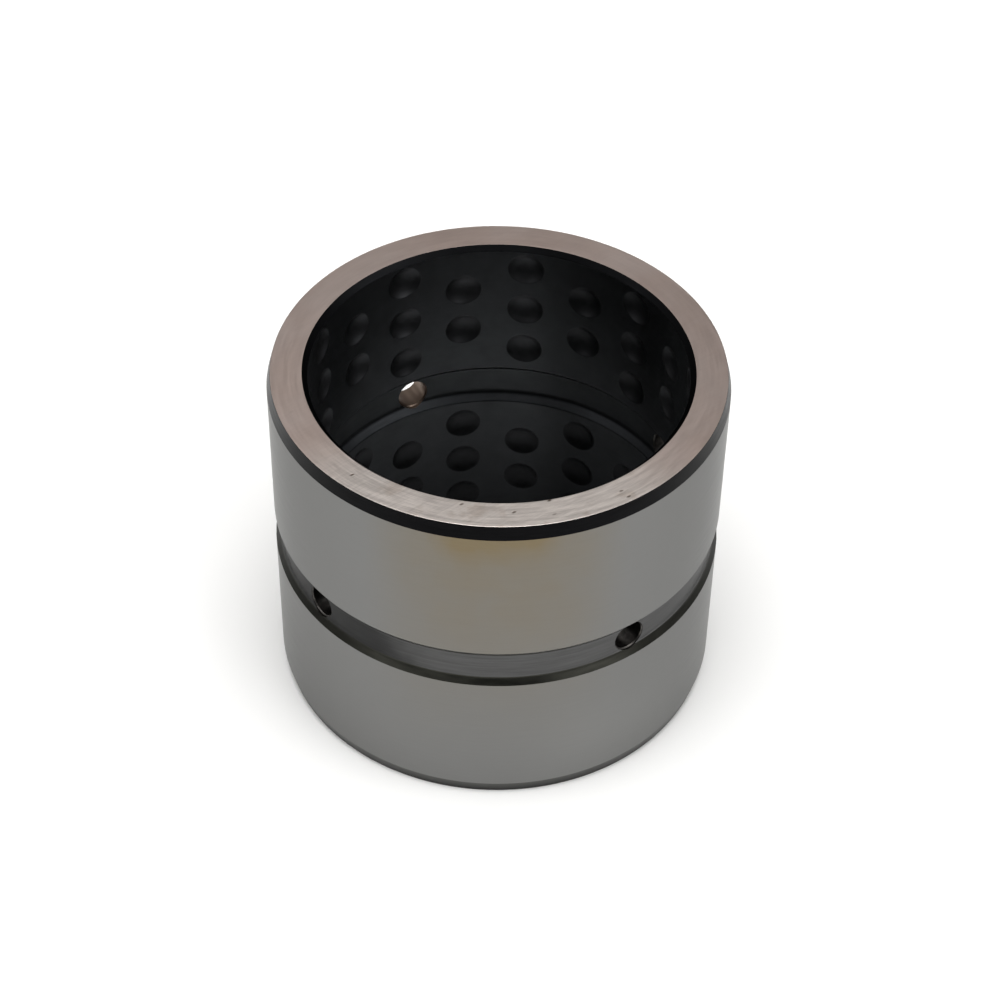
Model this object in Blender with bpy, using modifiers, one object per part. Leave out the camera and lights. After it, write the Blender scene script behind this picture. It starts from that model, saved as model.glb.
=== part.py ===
"""Steel pin bushing, 70 mm bore, 85 mm outside diameter, 70 mm long.

The bushing is one solid piece of hardened steel. It is pressed into a boom or
bucket eye, and a pin turns in its bore. Grease runs round a groove on the
outside, through four cross holes, into a groove in the bore, and it is stored
in rows of round pockets in the bore's wall.

The axis is +Z, and the origin is the centre of the lower end face. Angles are
measured about +Z from +X.
"""
import math

import bmesh
import bpy
from mathutils import Matrix, Vector

MM = 0.001

# Sleeve
BORE_DIAMETER = 70.0 * MM
OUTER_DIAMETER = 85.0 * MM
LENGTH = 70.0 * MM
LEAD_IN_LENGTH = 2.7 * MM       # outer chamfer, measured along the axis
LEAD_IN_DEPTH = 0.7 * MM        # outer chamfer, measured across the axis
BORE_EDGE_BREAK = 1.0 * MM      # 45 degree chamfer at both ends of the bore

# Grooves, each with a flat floor and sloping flanks
OUTER_GROOVE_HEIGHT = 34.5 * MM
OUTER_GROOVE_WIDTH = 8.5 * MM
OUTER_GROOVE_FLOOR = 5.8 * MM
OUTER_GROOVE_DEPTH = 1.0 * MM
BORE_GROOVE_HEIGHT = 35.0 * MM
BORE_GROOVE_WIDTH = 9.0 * MM
BORE_GROOVE_FLOOR = 6.0 * MM
BORE_GROOVE_DEPTH = 1.5 * MM

# Cross holes, from the middle of the outer groove to the bore groove
CROSS_HOLE_DIAMETER = 6.0 * MM
CROSS_HOLE_ANGLES = (-53.6, 28.0, 118.5, 219.2)

# Grease pockets: columns round the bore, with alternate columns turned end for end
POCKET_WIDTH = 7.0 * MM
POCKET_DEPTH = 1.0 * MM
POCKET_COLUMNS = 18
FIRST_COLUMN_ANGLE = 2.06
POCKET_ROWS = (30.0 * MM, 20.0 * MM, 10.0 * MM, -15.0 * MM, -25.0 * MM)   # from mid-length

# Facets
SLEEVE_STEPS = 72
POCKET_SEGMENTS = 12
POCKET_RINGS = 11
CROSS_HOLE_SEGMENTS = 24
SHARP_ANGLE = math.radians(15.0)

STEEL_COLOUR = (0.24, 0.235, 0.225, 1.0)
STEEL_ROUGHNESS = 0.32

BORE_RADIUS = BORE_DIAMETER / 2
OUTER_RADIUS = OUTER_DIAMETER / 2
MID_LENGTH = LENGTH / 2


def clear_scene():
    """Remove every object, so that the script starts from an empty scene."""
    for old in list(bpy.data.objects):
        bpy.data.objects.remove(old, do_unlink=True)


def new_collection(name):
    """Return a new collection that is linked to the scene."""
    collection = bpy.data.collections.new(name)
    bpy.context.scene.collection.children.link(collection)
    return collection


def new_object(name, bm, collection):
    """Turn a bmesh into a named object in a collection."""
    mesh = bpy.data.meshes.new(name)
    bm.to_mesh(mesh)
    bm.free()
    made = bpy.data.objects.new(name, mesh)
    collection.objects.link(made)
    return made


def steel_material():
    """Return the bright, ground steel of the sleeve."""
    material = bpy.data.materials.new("ground_steel")
    material.use_nodes = True
    shader = material.node_tree.nodes["Principled BSDF"]
    shader.inputs["Base Color"].default_value = STEEL_COLOUR
    shader.inputs["Metallic"].default_value = 1.0
    shader.inputs["Roughness"].default_value = STEEL_ROUGHNESS
    return material


def groove_points(height, surface_radius, floor_radius, width, floor_width):
    """Return a groove's four corners as (radius, height), from top to bottom."""
    return [
        (surface_radius, height + width / 2),
        (floor_radius, height + floor_width / 2),
        (floor_radius, height - floor_width / 2),
        (surface_radius, height - width / 2),
    ]


def wall_section():
    """Return the closed outline of the wall: down the outside, then up the bore."""
    outer_groove = groove_points(OUTER_GROOVE_HEIGHT, OUTER_RADIUS,
                                 OUTER_RADIUS - OUTER_GROOVE_DEPTH,
                                 OUTER_GROOVE_WIDTH, OUTER_GROOVE_FLOOR)
    bore_groove = groove_points(BORE_GROOVE_HEIGHT, BORE_RADIUS,
                                BORE_RADIUS + BORE_GROOVE_DEPTH,
                                BORE_GROOVE_WIDTH, BORE_GROOVE_FLOOR)
    outside = [
        (OUTER_RADIUS - LEAD_IN_DEPTH, LENGTH),
        (OUTER_RADIUS, LENGTH - LEAD_IN_LENGTH),
        *outer_groove,
        (OUTER_RADIUS, LEAD_IN_LENGTH),
        (OUTER_RADIUS - LEAD_IN_DEPTH, 0.0),
    ]
    inside = [
        (BORE_RADIUS + BORE_EDGE_BREAK, 0.0),
        (BORE_RADIUS, BORE_EDGE_BREAK),
        *reversed(bore_groove),
        (BORE_RADIUS, LENGTH - BORE_EDGE_BREAK),
        (BORE_RADIUS + BORE_EDGE_BREAK, LENGTH),
    ]
    return outside + inside


def make_sleeve(collection):
    """Turn the wall's outline once round the axis."""
    bm = bmesh.new()
    corners = [bm.verts.new((radius, 0.0, height)) for radius, height in wall_section()]
    for start, end in zip(corners, corners[1:] + corners[:1]):
        bm.edges.new((start, end))
    sleeve = new_object("bushing", bm, collection)

    screw = sleeve.modifiers.new("turn", "SCREW")
    screw.axis = "Z"
    screw.steps = SLEEVE_STEPS
    screw.render_steps = SLEEVE_STEPS
    screw.use_merge_vertices = True
    screw.merge_threshold = 0.00001
    return sleeve


def radial_placement(angle, radius, height):
    """Return a matrix whose +Z axis points outwards from the bushing's axis."""
    turn = Matrix.Rotation(math.radians(angle), 4, "Z")
    shift = Matrix.Translation(Vector((radius, 0.0, height)))
    lay_down = Matrix.Rotation(math.radians(90.0), 4, "Y")
    return turn @ shift @ lay_down


def pocket_heights(column):
    """Return the heights of one column's pockets; odd columns are end for end."""
    side = -1.0 if column % 2 else 1.0
    return [MID_LENGTH + side * row for row in POCKET_ROWS]


def make_pocket_cutters(collection):
    """Make a ball for each grease pocket; only its outer cap reaches into the wall."""
    half_width = POCKET_WIDTH / 2
    ball_radius = (half_width ** 2 + POCKET_DEPTH ** 2) / (2 * POCKET_DEPTH)
    ball_centre = BORE_RADIUS + POCKET_DEPTH - ball_radius
    column_pitch = 360.0 / POCKET_COLUMNS

    bm = bmesh.new()
    for column in range(POCKET_COLUMNS):
        angle = FIRST_COLUMN_ANGLE + column * column_pitch
        for height in pocket_heights(column):
            bmesh.ops.create_uvsphere(
                bm, u_segments=POCKET_SEGMENTS, v_segments=POCKET_RINGS, radius=ball_radius,
                matrix=radial_placement(angle, ball_centre, height))
    return new_object("grease_pocket_cutters", bm, collection)


def make_cross_hole_cutters(collection):
    """Make a rod for each cross hole, running past both faces of the wall."""
    wall = OUTER_RADIUS - BORE_RADIUS
    bm = bmesh.new()
    for angle in CROSS_HOLE_ANGLES:
        bmesh.ops.create_cone(
            bm, cap_ends=True, segments=CROSS_HOLE_SEGMENTS, radius1=CROSS_HOLE_DIAMETER / 2,
            radius2=CROSS_HOLE_DIAMETER / 2, depth=2 * wall,
            matrix=radial_placement(angle, BORE_RADIUS + wall / 2, OUTER_GROOVE_HEIGHT))
    return new_object("cross_hole_cutters", bm, collection)


def cut(piece, cutter):
    """Subtract a cutter from a piece, and hide the cutter."""
    boolean = piece.modifiers.new(cutter.name, "BOOLEAN")
    boolean.operation = "DIFFERENCE"
    boolean.solver = "EXACT"
    boolean.object = cutter
    cutter.hide_render = True
    cutter.display_type = "WIRE"


def shade_round(piece):
    """Shade the turned faces smooth, and keep the corners between them crisp."""
    bpy.context.view_layer.update()
    evaluated = piece.evaluated_get(bpy.context.evaluated_depsgraph_get())
    solid = bpy.data.meshes.new_from_object(evaluated)
    piece.modifiers.clear()
    piece.data = solid
    solid.shade_smooth()
    solid.set_sharp_from_angle(angle=SHARP_ANGLE)


def main():
    clear_scene()
    parts = new_collection("pin_bushing")
    cutters = new_collection("cutters")

    sleeve = make_sleeve(parts)
    cut(sleeve, make_pocket_cutters(cutters))
    cut(sleeve, make_cross_hole_cutters(cutters))
    shade_round(sleeve)
    sleeve.data.materials.clear()
    sleeve.data.materials.append(steel_material())


main()
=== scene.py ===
"""Looks of the steel pin bushing: one fine, closed surface in place of the faceted sleeve.

Heights are along +Z from the lower end face, angles are about +Z from +X, and
everything is in metres, in the frame's own place.
"""
import math

import bmesh
import bpy
from mathutils import Matrix, Vector


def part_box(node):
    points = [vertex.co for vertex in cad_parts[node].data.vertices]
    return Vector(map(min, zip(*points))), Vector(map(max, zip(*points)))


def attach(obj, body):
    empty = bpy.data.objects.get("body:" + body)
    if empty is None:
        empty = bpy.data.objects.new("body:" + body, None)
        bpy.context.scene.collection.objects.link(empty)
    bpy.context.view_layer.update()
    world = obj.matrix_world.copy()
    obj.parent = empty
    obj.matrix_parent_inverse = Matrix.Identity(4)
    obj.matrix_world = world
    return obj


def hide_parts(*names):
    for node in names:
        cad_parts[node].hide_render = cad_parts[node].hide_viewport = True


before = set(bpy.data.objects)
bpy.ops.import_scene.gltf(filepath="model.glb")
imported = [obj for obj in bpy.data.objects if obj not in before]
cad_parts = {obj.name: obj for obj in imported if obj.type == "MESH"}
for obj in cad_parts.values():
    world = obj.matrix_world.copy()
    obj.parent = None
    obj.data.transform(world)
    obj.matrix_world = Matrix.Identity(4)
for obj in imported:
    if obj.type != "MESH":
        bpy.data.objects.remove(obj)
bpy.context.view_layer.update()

MM = 0.001
NODE = "bushing"

# Overall sizes, from the frame
lowest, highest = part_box(NODE)
OUTER_RADIUS = highest.x
LENGTH = highest.z - lowest.z
MID_LENGTH = LENGTH / 2

# Sizes inside that box, the same as in the CAD model
BORE_RADIUS = 35.0 * MM
LEAD_IN_LENGTH = 2.7 * MM
LEAD_IN_DEPTH = 0.7 * MM
BORE_EDGE_BREAK = 1.0 * MM
OUTER_GROOVE_HEIGHT = 34.5 * MM
OUTER_GROOVE_WIDTH = 8.5 * MM
OUTER_GROOVE_FLOOR = 5.8 * MM
OUTER_GROOVE_DEPTH = 1.0 * MM
BORE_GROOVE_HEIGHT = 35.0 * MM
BORE_GROOVE_WIDTH = 9.0 * MM
BORE_GROOVE_FLOOR = 6.0 * MM
BORE_GROOVE_DEPTH = 1.5 * MM
CROSS_HOLE_RADIUS = 3.0 * MM
CROSS_HOLE_ANGLES = (-53.6, 28.0, 118.5, 219.2)
POCKET_RADIUS = 3.5 * MM
POCKET_DEPTH = 1.0 * MM
POCKET_COLUMNS = 18
FIRST_COLUMN_ANGLE = 2.06
POCKET_ROWS = (30.0 * MM, 20.0 * MM, 10.0 * MM, -15.0 * MM, -25.0 * MM)
HALF_ROW = 5.0 * MM             # pockets of neighbouring columns are half a row apart

# Rounds that the CAD model leaves out
EDGE_ROUND = 0.10 * MM
GROOVE_CORNER_ROUND = 1.4 * MM
BORE_GROOVE_EDGE_ROUND = 0.35 * MM
POCKET_RIM_ROUND = 0.50 * MM
HOLE_RIM_BREAK = 0.20 * MM
RUN_PAST = 2.0 * MM             # how far the hole cutters reach past the wall
RUN_OUT = 3                     # plain bore beside an edge's round, in radii of the round

# Mesh fineness
PATCH_SEGMENTS = 12             # along each side of the square patch round a pocket
BLOCK_LEVELS = PATCH_SEGMENTS // 2
AROUND = POCKET_COLUMNS * PATCH_SEGMENTS
ARC_STEPS = 4
POCKET_RINGS = 7
RIM_RINGS = 3                   # rings of a pocket's rim round that still have the bore's finish
CAP_START = 0.97                # slope of the cap's first ring, just inside the rim round
FIRST_CORNER_TURN = math.radians(-135.0)    # of the patch's first corner, round the pocket
SMALLEST_BLOCK = 0.2            # at the ends of a bore land, in half rows
HOLE_SEGMENTS = 64
SUPPORT = 0.06 * MM             # support loops beside each round keep the flats flat
SHARP_ANGLE = math.radians(38.0)

# Directions round the axis, in degrees
RIGHT = 0.0
FRONT = -90.0

# Parts of a noise's range, and fades
NOISE_SWING = (0.2, 0.8)
NOISE_MIDDLE = (0.25, 0.75)
NOISE_CORE = (0.3, 0.7)
FADE_IN = (0.0, 1.0)
FADE_OUT = (1.0, 0.0)

# Zones of the surface, in the order of the material slots
ZONES = ("end_face", "lead_in", "lower_lead_in", "land", "groove_flank", "groove_floor",
         "bore_edge", "bore", "bore_flank", "bore_floor", "pocket", "hole_wall")


# ------------------------------------------------------------------ surface

class Skin:
    """The points, faces and face zones of one surface."""

    def __init__(self):
        self.points = []
        self.faces = []
        self.zones = []

    def add_point(self, radius, angle, height):
        self.points.append((radius * math.cos(angle), radius * math.sin(angle), height))
        return len(self.points) - 1

    def add_face(self, corners, zone):
        self.faces.append(corners)
        self.zones.append(ZONES.index(zone))

    def add_loop(self, radius, height):
        """Add one full turn of points, and return their numbers."""
        return [self.add_point(radius, step_angle(step), height) for step in range(AROUND)]

    def join_loops(self, first, second, zone):
        """Join two full turns; seen with the second one above, the surface faces outwards."""
        for step in range(AROUND):
            after = (step + 1) % AROUND
            self.add_face((first[after], first[step], second[step], second[after]), zone)


def step_angle(step):
    """Return the angle of a step round the axis; steps start at a column's edge."""
    column_pitch = 2 * math.pi / POCKET_COLUMNS
    first_edge = math.radians(FIRST_COLUMN_ANGLE) - column_pitch / 2
    return first_edge + step * column_pitch / PATCH_SEGMENTS


def rounded_corner(before, corner, after, radius):
    """Return the points of a round at a corner, with a support point at either end."""
    to_before = (before - corner).normalized()
    to_after = (after - corner).normalized()
    half_angle = to_before.angle(to_after) / 2
    reach = radius / math.tan(half_angle)
    centre = corner + (to_before + to_after).normalized() * radius / math.sin(half_angle)
    start = (corner + to_before * reach - centre).normalized()
    end = (corner + to_after * reach - centre).normalized()
    arc = [centre + radius * start.slerp(end, step / ARC_STEPS) for step in range(ARC_STEPS + 1)]
    return [corner + to_before * (reach + SUPPORT), *arc, corner + to_after * (reach + SUPPORT)]


def revolve(skin, corners, rounds, zones):
    """Turn a stretch of outline, with its corners rounded, and return its two end loops."""
    corners = [Vector(corner) for corner in corners]
    stretches = [[corners[0]]]
    for before, corner, after, radius in zip(corners, corners[1:], corners[2:], rounds):
        points = rounded_corner(before, corner, after, radius)
        half = len(points) // 2
        stretches[-1] += points[:half + 1]
        stretches.append(points[half:])
    stretches[-1].append(corners[-1])

    first_loop = None
    loop = None
    for points, zone in zip(stretches, zones):
        for point in points[0 if loop is None else 1:]:
            new_loop = skin.add_loop(point.x, point.y)
            if loop is not None:
                skin.join_loops(loop, new_loop, zone)
            first_loop = first_loop or new_loop
            loop = new_loop
    return first_loop, loop


def cap_profile():
    """Return (distance from the pocket's axis, depth) of its rings, from the rim to the middle."""
    ball_radius = (POCKET_RADIUS ** 2 + POCKET_DEPTH ** 2) / (2 * POCKET_DEPTH)
    rim_slope = math.asin(POCKET_RADIUS / ball_radius)
    rim = POCKET_RADIUS + POCKET_RIM_ROUND * math.tan(rim_slope / 2)
    profile = [(rim + SUPPORT, 0.0)]
    for step in range(ARC_STEPS + 1):
        slope = rim_slope * step / ARC_STEPS
        profile.append((rim - POCKET_RIM_ROUND * math.sin(slope),
                        POCKET_RIM_ROUND * (1 - math.cos(slope))))
    for ring in range(1, POCKET_RINGS):
        slope = rim_slope * (1 - ring / POCKET_RINGS) * CAP_START
        profile.append((ball_radius * math.sin(slope),
                        POCKET_DEPTH - ball_radius * (1 - math.cos(slope))))
    return profile


def add_pocket(skin, border, angle, height):
    """Fill a square border on the bore with a round pocket, ring by ring."""
    count = len(border)
    turns = [FIRST_CORNER_TURN + 2 * math.pi * step / count for step in range(count)]
    loop = border
    for ring, (distance, depth) in enumerate(cap_profile()):
        new_loop = [skin.add_point(BORE_RADIUS + depth,
                                   angle - distance * math.cos(turn) / BORE_RADIUS,
                                   height + distance * math.sin(turn)) for turn in turns]
        zone = "bore" if ring < RIM_RINGS else "pocket"
        for step in range(count):
            after = (step + 1) % count
            skin.add_face((loop[step], loop[after], new_loop[after], new_loop[step]), zone)
        loop = new_loop
    middle = skin.add_point(BORE_RADIUS + POCKET_DEPTH, angle, height)
    for step in range(count):
        skin.add_face((loop[step], loop[(step + 1) % count], middle), "pocket")


def pocket_heights(column):
    """Return the heights of one column's pockets; odd columns are end for end."""
    side = -1.0 if column % 2 else 1.0
    return [MID_LENGTH + side * row for row in POCKET_ROWS]


class BoreLand:
    """A stretch of bore between two loops: a grid of squares, in blocks half a row high."""

    def __init__(self, skin, lower_loop, upper_loop, bottom, top):
        self.skin = skin
        self.lower_loop = lower_loop
        self.upper_loop = upper_loop
        self.bottom = bottom
        self.top = top
        self.first_break = math.ceil(bottom / HALF_ROW + SMALLEST_BLOCK)
        last_break = math.floor(top / HALF_ROW - SMALLEST_BLOCK)
        breaks = [bottom, *(HALF_ROW * n for n in range(self.first_break, last_break + 1)), top]
        self.blocks = range(len(breaks) - 1)
        self.heights = [low + (high - low) * level / BLOCK_LEVELS
                        for low, high in zip(breaks, breaks[1:]) for level in range(BLOCK_LEVELS)]
        self.grid = {}

    def point(self, step, level):
        """Return the grid's point at a step and a level, and make it if it is new."""
        step %= AROUND
        if level == 0:
            return self.lower_loop[step]
        if level == len(self.heights):
            return self.upper_loop[step]
        if (step, level) not in self.grid:
            self.grid[step, level] = self.skin.add_point(BORE_RADIUS, step_angle(step),
                                                         self.heights[level])
        return self.grid[step, level]

    def add_squares(self, left, block):
        """Fill one block of one column with squares."""
        for level in range(block * BLOCK_LEVELS, (block + 1) * BLOCK_LEVELS):
            for step in range(left, left + PATCH_SEGMENTS):
                corners = (self.point(step + 1, level), self.point(step, level),
                           self.point(step, level + 1), self.point(step + 1, level + 1))
                self.skin.add_face(corners, "bore")

    def border(self, left, low):
        """Return the points round two blocks of one column, from the lower right corner."""
        right = left + PATCH_SEGMENTS
        high = low + 2 * BLOCK_LEVELS
        sides = [[self.point(right - n, low) for n in range(PATCH_SEGMENTS)],
                 [self.point(left, low + n) for n in range(PATCH_SEGMENTS)],
                 [self.point(left + n, high) for n in range(PATCH_SEGMENTS)],
                 [self.point(right, high - n) for n in range(PATCH_SEGMENTS)]]
        return sum(sides, [])

    def fill_column(self, column):
        """Fill one column with its pockets, and with squares between them."""
        left = column * PATCH_SEGMENTS
        angle = math.radians(FIRST_COLUMN_ANGLE + column * 360.0 / POCKET_COLUMNS)
        plain_blocks = set(self.blocks)
        for height in pocket_heights(column):
            if self.bottom < height < self.top:
                block = round(height / HALF_ROW) - self.first_break + 1
                plain_blocks -= {block - 1, block}
                border = self.border(left, (block - 1) * BLOCK_LEVELS)
                add_pocket(self.skin, border, angle, height)
        for block in sorted(plain_blocks):
            self.add_squares(left, block)


def add_bore_land(skin, lower_loop, upper_loop, bottom, top):
    """Fill the bore between two loops, column by column."""
    land = BoreLand(skin, lower_loop, upper_loop, bottom, top)
    for column in range(POCKET_COLUMNS):
        land.fill_column(column)


def groove_corners(height, surface_radius, floor_radius, width, floor_width):
    """Return a groove's four corners as (radius, height), from top to bottom."""
    return [
        (surface_radius, height + width / 2),
        (floor_radius, height + floor_width / 2),
        (floor_radius, height - floor_width / 2),
        (surface_radius, height - width / 2),
    ]


def outside_outline():
    """Return the outline down the outside, from the bore's upper end to its lower end."""
    run_out = RUN_OUT * EDGE_ROUND
    upper_end = [
        (BORE_RADIUS, LENGTH - BORE_EDGE_BREAK - run_out),
        (BORE_RADIUS, LENGTH - BORE_EDGE_BREAK),
        (BORE_RADIUS + BORE_EDGE_BREAK, LENGTH),
        (OUTER_RADIUS - LEAD_IN_DEPTH, LENGTH),
        (OUTER_RADIUS, LENGTH - LEAD_IN_LENGTH),
    ]
    groove = groove_corners(OUTER_GROOVE_HEIGHT, OUTER_RADIUS,
                            OUTER_RADIUS - OUTER_GROOVE_DEPTH,
                            OUTER_GROOVE_WIDTH, OUTER_GROOVE_FLOOR)
    lower_end = [(radius, LENGTH - height) for radius, height in reversed(upper_end)]
    end_rounds = [EDGE_ROUND] * 4
    groove_rounds = [EDGE_ROUND, GROOVE_CORNER_ROUND, GROOVE_CORNER_ROUND, EDGE_ROUND]
    upper_zones = ["bore", "bore_edge", "end_face", "lead_in", "land"]
    lower_zones = ["land", "lower_lead_in", "end_face", "bore_edge", "bore"]
    return (upper_end + groove + lower_end,
            end_rounds + groove_rounds + end_rounds,
            upper_zones + ["groove_flank", "groove_floor", "groove_flank"] + lower_zones)


def bore_groove_outline():
    """Return the outline up the bore's groove, with a short run of bore at either end."""
    run_out = RUN_OUT * BORE_GROOVE_EDGE_ROUND
    groove = groove_corners(BORE_GROOVE_HEIGHT, BORE_RADIUS, BORE_RADIUS + BORE_GROOVE_DEPTH,
                            BORE_GROOVE_WIDTH, BORE_GROOVE_FLOOR)[::-1]
    below = (BORE_RADIUS, groove[0][1] - run_out)
    above = (BORE_RADIUS, groove[-1][1] + run_out)
    return ([below, *groove, above],
            [BORE_GROOVE_EDGE_ROUND, GROOVE_CORNER_ROUND, GROOVE_CORNER_ROUND,
             BORE_GROOVE_EDGE_ROUND],
            ["bore", "bore_flank", "bore_floor", "bore_flank", "bore"])


def make_skin():
    """Build the whole surface but for the cross holes."""
    skin = Skin()
    outline, rounds, zones = outside_outline()
    top_loop, bottom_loop = revolve(skin, outline, rounds, zones)
    groove_outline, groove_rounds, groove_zones = bore_groove_outline()
    groove_low, groove_top = revolve(skin, groove_outline, groove_rounds, groove_zones)
    add_bore_land(skin, groove_top, top_loop, groove_outline[-1][1], outline[0][1])
    add_bore_land(skin, bottom_loop, groove_low, outline[-1][1], groove_outline[0][1])
    return skin


def skin_object(name, skin):
    """Turn a skin into an object, with each face's zone as its material index."""
    mesh = bpy.data.meshes.new(name)
    mesh.from_pydata(skin.points, [], skin.faces)
    mesh.polygons.foreach_set("material_index", skin.zones)
    made = bpy.data.objects.new(name, mesh)
    bpy.context.scene.collection.objects.link(made)
    return made


def hole_profile():
    """Return (radius, distance from the bushing's axis) of a cross hole, with broken rims."""
    wide = CROSS_HOLE_RADIUS + HOLE_RIM_BREAK
    bore_mouth = BORE_RADIUS + BORE_GROOVE_DEPTH
    outer_mouth = OUTER_RADIUS - OUTER_GROOVE_DEPTH
    return [
        (wide, BORE_RADIUS - RUN_PAST),
        (wide, bore_mouth),
        (CROSS_HOLE_RADIUS, bore_mouth + HOLE_RIM_BREAK),
        (CROSS_HOLE_RADIUS, outer_mouth - 2 * HOLE_RIM_BREAK),
        (wide, outer_mouth - HOLE_RIM_BREAK),
        (wide, OUTER_RADIUS + RUN_PAST),
    ]


def add_rod(bm, placement):
    """Add one closed rod with the hole's profile."""
    loops = []
    for radius, distance in hole_profile():
        loop = []
        for step in range(HOLE_SEGMENTS):
            turn = 2 * math.pi * step / HOLE_SEGMENTS
            place = Vector((radius * math.cos(turn), radius * math.sin(turn), distance))
            loop.append(bm.verts.new(placement @ place))
        loops.append(loop)
    for first, second in zip(loops, loops[1:]):
        for step in range(HOLE_SEGMENTS):
            after = (step + 1) % HOLE_SEGMENTS
            bm.faces.new((first[step], first[after], second[after], second[step]))
    bm.faces.new(loops[0][::-1])
    bm.faces.new(loops[-1])


def hole_cutters():
    """Return one object that holds a closed cutter for each cross hole."""
    bm = bmesh.new()
    for angle in CROSS_HOLE_ANGLES:
        add_rod(bm, Matrix.Translation((0, 0, OUTER_GROOVE_HEIGHT))
                @ Matrix.Rotation(math.radians(angle), 4, "Z")
                @ Matrix.Rotation(math.radians(90.0), 4, "Y"))
    for face in bm.faces:
        face.material_index = ZONES.index("hole_wall")
    mesh = bpy.data.meshes.new("hole_cutters")
    bm.to_mesh(mesh)
    bm.free()
    made = bpy.data.objects.new("hole_cutters", mesh)
    bpy.context.scene.collection.objects.link(made)
    return made


def drill(piece, cutters):
    """Cut the cross holes out of the piece for good, and remove the cutters."""
    boolean = piece.modifiers.new("cross_holes", "BOOLEAN")
    boolean.operation = "DIFFERENCE"
    boolean.solver = "EXACT"
    boolean.object = cutters
    bpy.context.view_layer.update()
    evaluated = piece.evaluated_get(bpy.context.evaluated_depsgraph_get())
    drilled = bpy.data.meshes.new_from_object(evaluated)
    piece.modifiers.clear()
    piece.data = drilled
    bpy.data.objects.remove(cutters)


# ------------------------------------------------------------------- nodes

def add_node(tree, kind, inputs, **settings):
    """Add a node; each input is a fixed value or another node's output."""
    node = tree.nodes.new(kind)
    for name, value in settings.items():
        setattr(node, name, value)
    for name, value in inputs.items():
        if isinstance(value, bpy.types.NodeSocket):
            tree.links.new(value, node.inputs[name])
        else:
            node.inputs[name].default_value = value
    return node


def connect(tree, shader, **values):
    """Put values or outputs on the shader's own inputs."""
    for name, value in values.items():
        socket = shader.inputs[name.replace("_", " ")]
        if isinstance(value, bpy.types.NodeSocket):
            tree.links.new(value, socket)
        else:
            socket.default_value = value


def combine(tree, operation, first, second):
    """Return the result of one sum on two values."""
    return add_node(tree, "ShaderNodeMath", {0: first, 1: second},
                    operation=operation).outputs["Value"]


def spread(tree, value, limits, results):
    """Return a value eased from one pair of numbers to another, and held at both ends."""
    return add_node(tree, "ShaderNodeMapRange", {
        "Value": value, "From Min": limits[0], "From Max": limits[1],
        "To Min": results[0], "To Max": results[1]},
        interpolation_type="SMOOTHSTEP").outputs["Result"]


def blend_values(tree, factor, first, second):
    """Return a mix of two values."""
    return add_node(tree, "ShaderNodeMix", {0: factor, 2: first, 3: second},
                    data_type="FLOAT").outputs[0]


def blend(tree, factor, first, second):
    """Return a mix of two colours."""
    return add_node(tree, "ShaderNodeMix", {0: factor, 6: first, 7: second},
                    data_type="RGBA").outputs[2]


def shade(tree, colour, factor):
    """Return a colour, made darker or lighter by a factor."""
    factors = add_node(tree, "ShaderNodeCombineColor",
                       {"Red": factor, "Green": factor, "Blue": factor}).outputs["Color"]
    return add_node(tree, "ShaderNodeMix", {0: 1.0, 6: colour, 7: factors}, data_type="RGBA",
                    blend_type="MULTIPLY").outputs[2]


def emboss(tree, height, depth, normal=None):
    """Return a normal with marks of that depth in metres."""
    inputs = {"Height": height, "Distance": depth, "Strength": 1.0}
    if normal is not None:
        inputs["Normal"] = normal
    return add_node(tree, "ShaderNodeBump", inputs).outputs["Normal"]


def grey(level):
    """Return a grey of that level."""
    return (level, level, level, 1.0)


# ------------------------------------------------------- places on the steel

def position(tree):
    """Return the place on the surface, in millimetres."""
    place = add_node(tree, "ShaderNodeTexCoord", {}).outputs["Object"]
    return add_node(tree, "ShaderNodeVectorMath", {0: place, "Scale": 1 / MM},
                    operation="SCALE").outputs["Vector"]


def without_height(tree):
    """Return the place on the surface, laid flat on the floor."""
    return add_node(tree, "ShaderNodeVectorMath", {0: position(tree), 1: (1.0, 1.0, 0.0)},
                    operation="MULTIPLY").outputs["Vector"]


def height_above_floor(tree):
    """Return the height of the surface, in millimetres."""
    return add_node(tree, "ShaderNodeSeparateXYZ", {"Vector": position(tree)}).outputs["Z"]


def facing(tree, azimuth):
    """Return the cosine of the angle round the axis between the surface and an azimuth."""
    turn = math.radians(azimuth)
    outwards = add_node(tree, "ShaderNodeVectorMath", {0: without_height(tree)},
                        operation="NORMALIZE").outputs["Vector"]
    return add_node(tree, "ShaderNodeVectorMath",
                    {0: outwards, 1: (math.cos(turn), math.sin(turn), 0.0)},
                    operation="DOT_PRODUCT").outputs["Value"]


def along_direction(tree, azimuth, along, across):
    """Return coordinates turned to one direction, and squeezed along it and across it."""
    turned = add_node(tree, "ShaderNodeVectorRotate",
                      {"Vector": position(tree), "Angle": -math.radians(azimuth)},
                      rotation_type="Z_AXIS").outputs["Vector"]
    return add_node(tree, "ShaderNodeVectorMath", {0: turned, 1: (along, across, 1.0)},
                    operation="MULTIPLY").outputs["Vector"]


def round_axis(tree, along):
    """Return coordinates squeezed round the axis; they differ most in radius and height."""
    parts = add_node(tree, "ShaderNodeSeparateXYZ", {"Vector": position(tree)}).outputs
    radius = add_node(tree, "ShaderNodeVectorMath", {0: without_height(tree)},
                      operation="LENGTH").outputs["Value"]
    return add_node(tree, "ShaderNodeCombineXYZ", {
        "X": combine(tree, "MULTIPLY", parts["X"], along),
        "Y": combine(tree, "MULTIPLY", parts["Y"], along),
        "Z": combine(tree, "ADD", radius, parts["Z"])}).outputs["Vector"]


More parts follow.
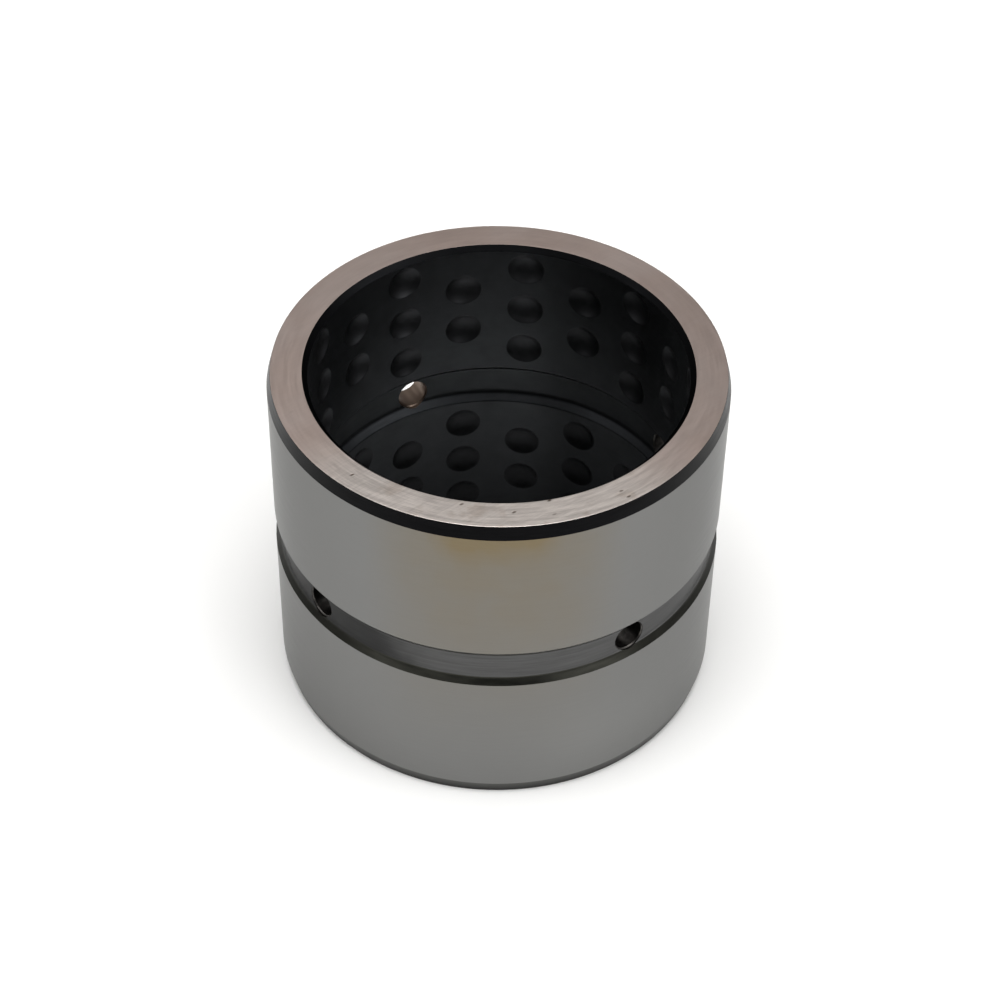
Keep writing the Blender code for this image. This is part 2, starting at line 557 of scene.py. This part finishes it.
def noise(tree, coordinates, scale, detail, roughness=0.55):
    """Return a smooth random value round 0.5."""
    return add_node(tree, "ShaderNodeTexNoise", {
        "Vector": coordinates, "Scale": scale, "Detail": detail,
        "Roughness": roughness}).outputs["Fac"]


def clouds(tree, scale, detail):
    """Return noise that is alike in all directions."""
    return noise(tree, position(tree), scale, detail)


def tool_marks(tree, along, scale, detail, roughness=0.55):
    """Return noise drawn out into fine lines round the axis."""
    return noise(tree, round_axis(tree, along), scale, detail, roughness)


# ---------------------------------------------------------------- finishes

def steel(name):
    """Return a new metal finish as (material, tree, shader)."""
    material = bpy.data.materials.new(name)
    material.use_nodes = True
    tree = material.node_tree
    shader = tree.nodes["Principled BSDF"]
    shader.inputs["Metallic"].default_value = 1.0
    return material, tree, shader


# Ground outside faces. Heights are in millimetres, and widths are cosines from the middle.
GROUND_DARK = (0.179, 0.179, 0.175, 1.0)
GROUND_LIGHT = (0.184, 0.184, 0.180, 1.0)
GROUND_CONTRAST = (0.975, 1.025)
GROUND_ROUGHNESS = (0.28, 0.36)
GROUND_EDGE_TINT = 0.72
GROUND_MARK_DEPTH = 0.0006 * MM
# painted reflection: a warm thing in front of the bushing, laid on the ground faces as a straw
# colour at the front and under the upper rim
WARM_REFLECTION_COLOUR = (0.184, 0.149, 0.094, 1.0)
WASH_WIDTH = (0.82, 1.0)
WASH_HEIGHTS = (5.0, 75.0)
WASH_STRENGTH = 0.58
RIM_REFLECTION_WIDTH = (0.95, 1.0)
RIM_REFLECTION_HEIGHTS = (59.0, 67.5)
RIM_REFLECTION_STRENGTH = 0.62
REFLECTION_UNEVENNESS = (0.8, 1.1)
# painted light: the ground face lighter low on one side, where more light falls
LIGHTER_SIDE = -25.0            # of the lower half
LIGHTER_WIDTH = (0.45, 0.9)
LIGHTER_HEIGHTS = (10.0, 30.0)
LIGHTER_BY = 0.12


def painted_warm_reflection(tree):
    """Return how strong the painted warm reflection is: a wide wash at the front, and more under
    the rim.
    """
    front = facing(tree, FRONT)
    height = height_above_floor(tree)
    wash = combine(tree, "MULTIPLY", spread(tree, front, WASH_WIDTH, FADE_IN),
                   spread(tree, height, WASH_HEIGHTS, (0.0, WASH_STRENGTH)))
    rim = combine(tree, "MULTIPLY", spread(tree, front, RIM_REFLECTION_WIDTH, FADE_IN),
                  spread(tree, height, RIM_REFLECTION_HEIGHTS, (0.0, RIM_REFLECTION_STRENGTH)))
    uneven = spread(tree, clouds(tree, scale=0.12, detail=3.0), NOISE_CORE, REFLECTION_UNEVENNESS)
    return combine(tree, "MULTIPLY", combine(tree, "ADD", wash, rim), uneven)


def painted_light_low_side(tree):
    """Return how much lighter the ground face is on one side of the lower half: painted light."""
    low = spread(tree, height_above_floor(tree), LIGHTER_HEIGHTS, FADE_OUT)
    side = spread(tree, facing(tree, LIGHTER_SIDE), LIGHTER_WIDTH, (0.0, LIGHTER_BY))
    return combine(tree, "ADD", 1.0, combine(tree, "MULTIPLY", low, side))


def ground_steel():
    """Bright ground outside faces, with fine marks round the axis, a painted warm reflection at
    the front and painted light low on one side.
    """
    material, tree, shader = steel("ground_steel")
    marks = tool_marks(tree, along=0.03, scale=3.0, detail=6.0, roughness=0.7)
    colour = blend(tree, clouds(tree, scale=0.05, detail=2.0), GROUND_DARK, GROUND_LIGHT)
    colour = blend(tree, painted_warm_reflection(tree), colour, WARM_REFLECTION_COLOUR)
    colour = shade(tree, colour, spread(tree, marks, NOISE_MIDDLE, GROUND_CONTRAST))
    colour = shade(tree, colour, painted_light_low_side(tree))
    connect(tree, shader, Base_Color=colour,
            Specular_Tint=grey(GROUND_EDGE_TINT),
            Roughness=spread(tree, marks, NOISE_SWING, GROUND_ROUGHNESS),
            Normal=emboss(tree, marks, GROUND_MARK_DEPTH))
    return material


# End faces. Widths are cosines from the middle.
FACED_DARK = (0.50, 0.405, 0.365, 1.0)
FACED_LIGHT = (0.53, 0.445, 0.41, 1.0)
FACED_ROUGHNESS = (0.28, 0.40)
FACED_MARK_DEPTH = 0.0025 * MM
# painted highlight: the end face lighter and whiter towards the front
PAINTED_HIGHLIGHT_COLOUR = (0.63, 0.577, 0.54, 1.0)
PAINTED_HIGHLIGHT_SIDE = -92.0
PAINTED_HIGHLIGHT_WIDTH = (0.50, 0.86)
# painted shade: the end face darker towards the right
PAINTED_SHADE_RIGHT_WIDTH = (0.6, 0.97)
PAINTED_SHADE_RIGHT_FACTORS = (1.0, 0.88)
SMUDGE = (0.38, 0.30, 0.24, 1.0)
SMUDGE_LIMITS = (0.54, 0.70)
SMUDGE_STRENGTH = 0.35
SCRATCH_DIRECTION = 38.0
SCRATCH_SHARE = 0.35            # of straight scratches among the marks round the axis
MARK_LIMITS = (0.36, 0.64)
MARK_STRENGTH = (0.04, 0.18)    # where the face is plain, and in the painted highlight at the front
PIT = (0.13, 0.10, 0.08, 1.0)
PIT_DEPTH = 0.03 * MM
PIT_DIRECTION = 35.0
PIT_RADII = (0.03, 0.10)        # in cells
PIT_CHANCE = (0.60, 1.0)
PITTED_SIDE = -80.0
PITTED_WIDTH = (0.0, 0.75)


def pits(tree):
    """Return where the end face has small dark pits, mostly on one side."""
    cells = add_node(tree, "ShaderNodeTexVoronoi", {
        "Vector": along_direction(tree, PIT_DIRECTION, along=0.16, across=0.30),
        "Scale": 1.0}, voronoi_dimensions="2D").outputs
    chance = add_node(tree, "ShaderNodeSeparateColor", {"Color": cells["Color"]}).outputs["Red"]
    centre = spread(tree, cells["Distance"], PIT_RADII, FADE_OUT)
    chosen = spread(tree, chance, PIT_CHANCE, FADE_IN)
    side = spread(tree, facing(tree, PITTED_SIDE), PITTED_WIDTH, FADE_IN)
    return combine(tree, "MULTIPLY", combine(tree, "MULTIPLY", centre, chosen), side)


def faced_colour(tree, painted_front_highlight):
    """Return the end face's colour: pinkish, with a painted highlight at the front that holds the
    smudges, and painted shade on the right.
    """
    colour = blend(tree, spread(tree, clouds(tree, scale=0.07, detail=3.0), NOISE_CORE, FADE_IN),
                   FACED_DARK, FACED_LIGHT)
    colour = blend(tree, painted_front_highlight, colour, PAINTED_HIGHLIGHT_COLOUR)
    colour = shade(tree, colour,
                   spread(tree, facing(tree, RIGHT), PAINTED_SHADE_RIGHT_WIDTH, PAINTED_SHADE_RIGHT_FACTORS))
    smudges = spread(tree, clouds(tree, scale=0.22, detail=5.0), SMUDGE_LIMITS,
                     (0.0, SMUDGE_STRENGTH))
    return blend(tree, combine(tree, "MULTIPLY", smudges, painted_front_highlight), colour, SMUDGE)


def faced_steel():
    """End faces: warm, ground flat, with fine marks and scratches, a few small pits, and painted
    highlight and shade.
    """
    material, tree, shader = steel("faced_steel")
    painted_front_highlight = spread(tree, facing(tree, PAINTED_HIGHLIGHT_SIDE), PAINTED_HIGHLIGHT_WIDTH, FADE_IN)
    rings = tool_marks(tree, along=0.07, scale=1.7, detail=6.0, roughness=0.75)
    scratches = noise(tree, along_direction(tree, SCRATCH_DIRECTION, along=0.05, across=0.9),
                      scale=2.0, detail=6.0, roughness=0.75)
    marks = blend_values(tree, SCRATCH_SHARE, rings, scratches)
    contrast = combine(tree, "MULTIPLY", spread(tree, marks, MARK_LIMITS, (-1.0, 1.0)),
                       spread(tree, painted_front_highlight, FADE_IN, MARK_STRENGTH))
    dents = pits(tree)
    colour = shade(tree, faced_colour(tree, painted_front_highlight), combine(tree, "ADD", contrast, 1.0))
    connect(tree, shader, Base_Color=blend(tree, dents, colour, PIT),
            Roughness=spread(tree, marks, NOISE_MIDDLE, FACED_ROUGHNESS),
            Normal=emboss(tree, dents, -PIT_DEPTH, emboss(tree, marks, FACED_MARK_DEPTH)))
    return material


# Black chamfers and groove flanks
LEAD_IN_BLACK = (0.0070, 0.0070, 0.0076, 1.0)
# lower chamfer: black, lighter towards the ground face above
LOWER_LEAD_IN_BLACK = (0.0074, 0.0074, 0.0068, 1.0)
LIGHTER_TOP_HEIGHTS = (0.2, 2.8)       # in millimetres
LIGHTER_TOP_FACTORS = (1.3, 8.0)
FLANK_BLACK = (0.048, 0.048, 0.041, 1.0)
# painted shade: the flank darker at the sides than at the front
FLANK_WIDTH = (0.70, 0.98)
FLANK_FACTORS = (0.38, 1.15)    # at the sides, and at the front
BLACK_CONTRAST = (0.8, 1.2)
BLACK_ROUGHNESS = (0.32, 0.45)
BLACK_MARK_DEPTH = 0.002 * MM


def even(_tree):
    """Return the factor of a coat that is the same all over."""
    return 1.0


def lighter_towards_top(tree):
    """Return how much lighter the black is towards the ground face above."""
    return spread(tree, height_above_floor(tree), LIGHTER_TOP_HEIGHTS, LIGHTER_TOP_FACTORS)


def painted_shade_at_sides(tree):
    """Return how much darker the black is away from the front: painted shade."""
    return spread(tree, facing(tree, FRONT), FLANK_WIDTH, FLANK_FACTORS)


def black_oxide(name, colour, factor_by_place):
    """Chamfers and the outer groove's flanks: left black, as turned."""
    material, tree, shader = steel(name)
    marks = tool_marks(tree, along=0.05, scale=3.0, detail=5.0)
    colour = shade(tree, colour, spread(tree, marks, NOISE_SWING, BLACK_CONTRAST))
    colour = shade(tree, colour, factor_by_place(tree))
    connect(tree, shader, Base_Color=colour,
            Roughness=spread(tree, marks, NOISE_SWING, BLACK_ROUGHNESS),
            Normal=emboss(tree, marks, BLACK_MARK_DEPTH))
    return material


# Outer groove's floor. Widths are cosines from the middle.
GROOVE_GREY = 0.084
GROOVE_CONTRAST = (0.75, 1.25)
GROOVE_ROUGHNESS = (0.30, 0.40)
GROOVE_EDGE_TINT = 0.7
GROOVE_MARK_DEPTH = 0.003 * MM
# painted shade: the groove floor darker towards the left front, with a wavering edge
PAINTED_SHADE_LEFT_SIDE = -145.0
PAINTED_SHADE_LEFT_WIDTH = (0.78, 0.93)
PAINTED_SHADE_LEFT_FACTORS = (1.0, 0.36)
PAINTED_SHADE_WAVER = (-0.02, 0.02)
PAINTED_SHADE_FAR_LEFT_SIDE = -165.0
PAINTED_SHADE_FAR_LEFT_WIDTH = (0.85, 1.0)
PAINTED_SHADE_FAR_LEFT_FACTORS = (1.0, 0.65)


def groove_steel():
    """Outer groove's floor: dark, turned steel, with painted shade towards the left front, and
    clear tool marks.
    """
    material, tree, shader = steel("groove_steel")
    marks = tool_marks(tree, along=0.04, scale=2.2, detail=6.0, roughness=0.7)
    waver = spread(tree, clouds(tree, scale=0.10, detail=4.0), NOISE_CORE, PAINTED_SHADE_WAVER)
    painted_left_shade = combine(tree, "ADD", facing(tree, PAINTED_SHADE_LEFT_SIDE), waver)
    colour = shade(tree, grey(GROOVE_GREY), spread(tree, marks, NOISE_SWING, GROOVE_CONTRAST))
    colour = shade(tree, colour, spread(tree, painted_left_shade, PAINTED_SHADE_LEFT_WIDTH, PAINTED_SHADE_LEFT_FACTORS))
    colour = shade(tree, colour, spread(tree, facing(tree, PAINTED_SHADE_FAR_LEFT_SIDE), PAINTED_SHADE_FAR_LEFT_WIDTH, PAINTED_SHADE_FAR_LEFT_FACTORS))
    connect(tree, shader, Base_Color=colour,
            Specular_Tint=grey(GROOVE_EDGE_TINT),
            Roughness=spread(tree, marks, NOISE_SWING, GROOVE_ROUGHNESS),
            Normal=emboss(tree, marks, GROOVE_MARK_DEPTH))
    return material


# Bore, its groove and the pockets
BORE_EDGE_COAT = (0.0056, 0.0058, 0.0063, 1.0)
BORE_COAT = (0.060, 0.063, 0.067, 1.0)
BORE_FLANK_COAT = (0.033, 0.035, 0.038, 1.0)
# a little darker than the bore: coat and painted shade in the groove
BORE_FLOOR_COAT_AND_SHADE = (0.052, 0.055, 0.058, 1.0)
POCKET_COAT = (0.047, 0.048, 0.051, 1.0)
BORE_ROUGHNESS = (0.36, 0.48)
POCKET_ROUGHNESS = (0.40, 0.50)
COAT_CLOUDS = (0.93, 1.07)
# painted shade and light: the bore darker towards the bottom, lighter near the top, and darker on
# one side
PAINTED_SHADE_HEIGHTS = (0.0, 60.0)      # in millimetres
PAINTED_SHADE_BY_HEIGHT = (0.28, 1.15)
BORE_PAINTED_SHADE_SIDE = 50.0
BORE_PAINTED_SHADE_WIDTH = (0.84, 0.98)
BORE_PAINTED_SHADE_FACTORS = (1.0, 0.55)
COAT_EDGE_TINT = 0.5
COAT_MARK_DEPTH = 0.002 * MM


def dark_bore(name, colour, roughness=BORE_ROUGHNESS):
    """Bore, its groove and the pockets: a blue-black coating on turned steel, with painted shade:
    darker towards the bottom and on one side, lighter near the top.
    """
    material, tree, shader = steel(name)
    marks = tool_marks(tree, along=0.06, scale=3.0, detail=5.0)
    coat = shade(tree, colour,
                 spread(tree, clouds(tree, scale=0.25, detail=4.0), NOISE_MIDDLE, COAT_CLOUDS))
    coat = shade(tree, coat, spread(tree, height_above_floor(tree), PAINTED_SHADE_HEIGHTS, PAINTED_SHADE_BY_HEIGHT))
    coat = shade(tree, coat,
                 spread(tree, facing(tree, BORE_PAINTED_SHADE_SIDE), BORE_PAINTED_SHADE_WIDTH, BORE_PAINTED_SHADE_FACTORS))
    connect(tree, shader, Base_Color=coat,
            Specular_Tint=grey(COAT_EDGE_TINT),
            Roughness=spread(tree, marks, NOISE_SWING, roughness),
            Normal=emboss(tree, marks, COAT_MARK_DEPTH))
    return material


# Cross holes
HOLE_DARK = (0.040, 0.038, 0.036, 1.0)
HOLE_LIGHT = (0.085, 0.080, 0.075, 1.0)
HOLE_CLOUD_LIMITS = (0.35, 0.65)
HOLE_ROUGHNESS = 0.38
HOLE_MARK_DEPTH = 0.015 * MM
# painted light: light falling through the back-left hole onto its wall
HOLE_PAINTED_LIGHT = (0.165, 0.125, 0.10, 1.0)
LIT_HOLE_ANGLE = 118.5        # the one hole whose wall gets painted light
LIT_HOLE_WIDTH = (0.95, 0.99)


def drilled_steel():
    """Cross holes: dark, drilled steel; one of them has painted brown light on its wall."""
    material, tree, shader = steel("drilled_steel")
    patches = clouds(tree, scale=0.7, detail=4.0)
    colour = blend(tree, spread(tree, patches, HOLE_CLOUD_LIMITS, FADE_IN), HOLE_DARK, HOLE_LIGHT)
    painted_light = spread(tree, facing(tree, LIT_HOLE_ANGLE), LIT_HOLE_WIDTH, FADE_IN)
    connect(tree, shader, Base_Color=blend(tree, painted_light, colour, HOLE_PAINTED_LIGHT),
            Roughness=HOLE_ROUGHNESS,
            Normal=emboss(tree, patches, HOLE_MARK_DEPTH))
    return material


def make_finishes():
    """Return the finish of each zone, in the order of the zones."""
    by_zone = {
        "end_face": faced_steel(),
        "lead_in": black_oxide("black_lead_in", LEAD_IN_BLACK, even),
        "lower_lead_in": black_oxide("black_lower_lead_in", LOWER_LEAD_IN_BLACK, lighter_towards_top),
        "land": ground_steel(),
        "groove_flank": black_oxide("black_flank", FLANK_BLACK, painted_shade_at_sides),
        "groove_floor": groove_steel(),
        "bore_edge": dark_bore("bore_edge_coat", BORE_EDGE_COAT),
        "bore": dark_bore("bore_coat", BORE_COAT),
        "bore_flank": dark_bore("bore_flank_coat", BORE_FLANK_COAT),
        "bore_floor": dark_bore("bore_floor_coat", BORE_FLOOR_COAT_AND_SHADE),
        "pocket": dark_bore("pocket_coat", POCKET_COAT, POCKET_ROUGHNESS),
        "hole_wall": drilled_steel(),
    }
    return [by_zone[zone] for zone in ZONES]


# ------------------------------------------------------------------ studio

FLOOR_HALF_WIDTH = 8.0
FLOOR_COLOUR = (0.90, 0.90, 0.89, 1.0)
FLOOR_ROUGHNESS = 0.8

# Azimuth, elevation, half width and half height in degrees, as seen from the bushing; radiance
SOFT_BOXES = {
    "left_box": (198.0, 35.0, 24.0, 8.0, 4.5),
    "right_box": (-24.0, 35.0, 24.0, 8.0, 5.3),
    "top_box": (-90.0, 82.0, 16.0, 16.0, 7.0),
    "back_box": (92.0, 64.0, 25.0, 11.0, 1.0),
}
BOX_DISTANCE = 2.5

ROOM_COLOUR = (0.36, 0.352, 0.345, 1.0)
DIM_SIDE_COLOUR = grey(0.06)
DIM_SIDE_ELEVATION = 28.0
DIM_SIDE_WIDTH = (0.47, 0.80)   # cosines from its middle, where it starts and where it is full

CAMERA_PITCH = 43.862           # degrees below level
CAMERA_ROLL = 0.0180            # radians
CAMERA_PLACE = (0.00057, -0.34493, 0.36770)
CAMERA_LENS = 89.78             # millimetres, as is the sensor's width
SENSOR_WIDTH = 36.0
NEAREST_SEEN = 0.01
FARTHEST_SEEN = 50.0


def make_floor():
    """Lay a wide, pale floor."""
    half = FLOOR_HALF_WIDTH
    mesh = bpy.data.meshes.new("floor")
    mesh.from_pydata([(-half, -half, 0), (half, -half, 0), (half, half, 0), (-half, half, 0)],
                     [], [(0, 1, 2, 3)])
    floor = bpy.data.objects.new("floor", mesh)
    bpy.context.scene.collection.objects.link(floor)
    material = bpy.data.materials.new("pale_floor")
    material.use_nodes = True
    shader = material.node_tree.nodes["Principled BSDF"]
    connect(material.node_tree, shader, Base_Color=FLOOR_COLOUR, Roughness=FLOOR_ROUGHNESS)
    mesh.materials.append(material)


def soft_box(name, azimuth, elevation, half_width, half_height, radiance):
    """Add a soft box that faces the bushing; the four angles are in degrees."""
    lamp = bpy.data.lights.new(name, "AREA")
    lamp.shape = "RECTANGLE"
    lamp.size = 2 * BOX_DISTANCE * math.tan(math.radians(half_width))
    lamp.size_y = 2 * BOX_DISTANCE * math.tan(math.radians(half_height))
    lamp.energy = radiance * math.pi * lamp.size * lamp.size_y
    box = bpy.data.objects.new(name, lamp)
    bpy.context.scene.collection.objects.link(box)
    turn = math.radians(azimuth)
    tilt = math.radians(elevation)
    away = Vector((math.cos(turn) * math.cos(tilt), math.sin(turn) * math.cos(tilt),
                   math.sin(tilt)))
    box.location = Vector((0, 0, MID_LENGTH)) + away * BOX_DISTANCE
    box.rotation_mode = "QUATERNION"
    box.rotation_quaternion = away.to_track_quat("Z", "Y")


def make_world():
    """Make a light room, with a dim side that leaves the turned faces some contrast."""
    world = bpy.data.worlds.new("studio")
    world.use_nodes = True
    tree = world.node_tree
    direction = add_node(tree, "ShaderNodeTexCoord", {}).outputs["Generated"]
    tilt = math.radians(DIM_SIDE_ELEVATION)
    towards_dim = add_node(tree, "ShaderNodeVectorMath",
                           {0: direction, 1: (0.0, -math.cos(tilt), math.sin(tilt))},
                           operation="DOT_PRODUCT").outputs["Value"]
    dimness = spread(tree, towards_dim, DIM_SIDE_WIDTH, FADE_IN)
    colour = blend(tree, dimness, ROOM_COLOUR, DIM_SIDE_COLOUR)
    tree.links.new(colour, tree.nodes["Background"].inputs["Color"])
    bpy.context.scene.world = world


def make_camera():
    """Add the camera, above and in front of the bushing, with a slight roll."""
    pitch = math.radians(CAMERA_PITCH)
    forward = Vector((0, math.cos(pitch), -math.sin(pitch)))
    level_up = Vector((0, math.sin(pitch), math.cos(pitch)))
    right = Vector((math.cos(CAMERA_ROLL), 0, 0)) + math.sin(CAMERA_ROLL) * level_up
    up = Vector((-math.sin(CAMERA_ROLL), 0, 0)) + math.cos(CAMERA_ROLL) * level_up
    lens = bpy.data.cameras.new("camera")
    lens.sensor_width = SENSOR_WIDTH
    lens.lens = CAMERA_LENS
    lens.clip_start = NEAREST_SEEN
    lens.clip_end = FARTHEST_SEEN
    camera = bpy.data.objects.new("camera", lens)
    bpy.context.scene.collection.objects.link(camera)
    camera.matrix_world = (Matrix.Translation(CAMERA_PLACE)
                           @ Matrix((right, up, -forward)).transposed().to_4x4())
    bpy.context.scene.camera = camera


def make_bushing():
    """Build the bushing, give each zone its finish, and tell the frame what it stands for."""
    sleeve = skin_object("pin_bushing", make_skin())
    holes = hole_cutters()
    for finish in make_finishes():
        sleeve.data.materials.append(finish)
        holes.data.materials.append(finish)
    drill(sleeve, holes)
    sleeve.data.shade_smooth()
    sleeve.data.set_sharp_from_angle(angle=SHARP_ANGLE)
    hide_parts(NODE)
    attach(sleeve, "root")


def main():
    make_bushing()
    make_floor()
    for name, values in SOFT_BOXES.items():
        soft_box(name, *values)
    make_world()
    make_camera()
    bpy.context.scene.view_settings.view_transform = "Standard"


main()
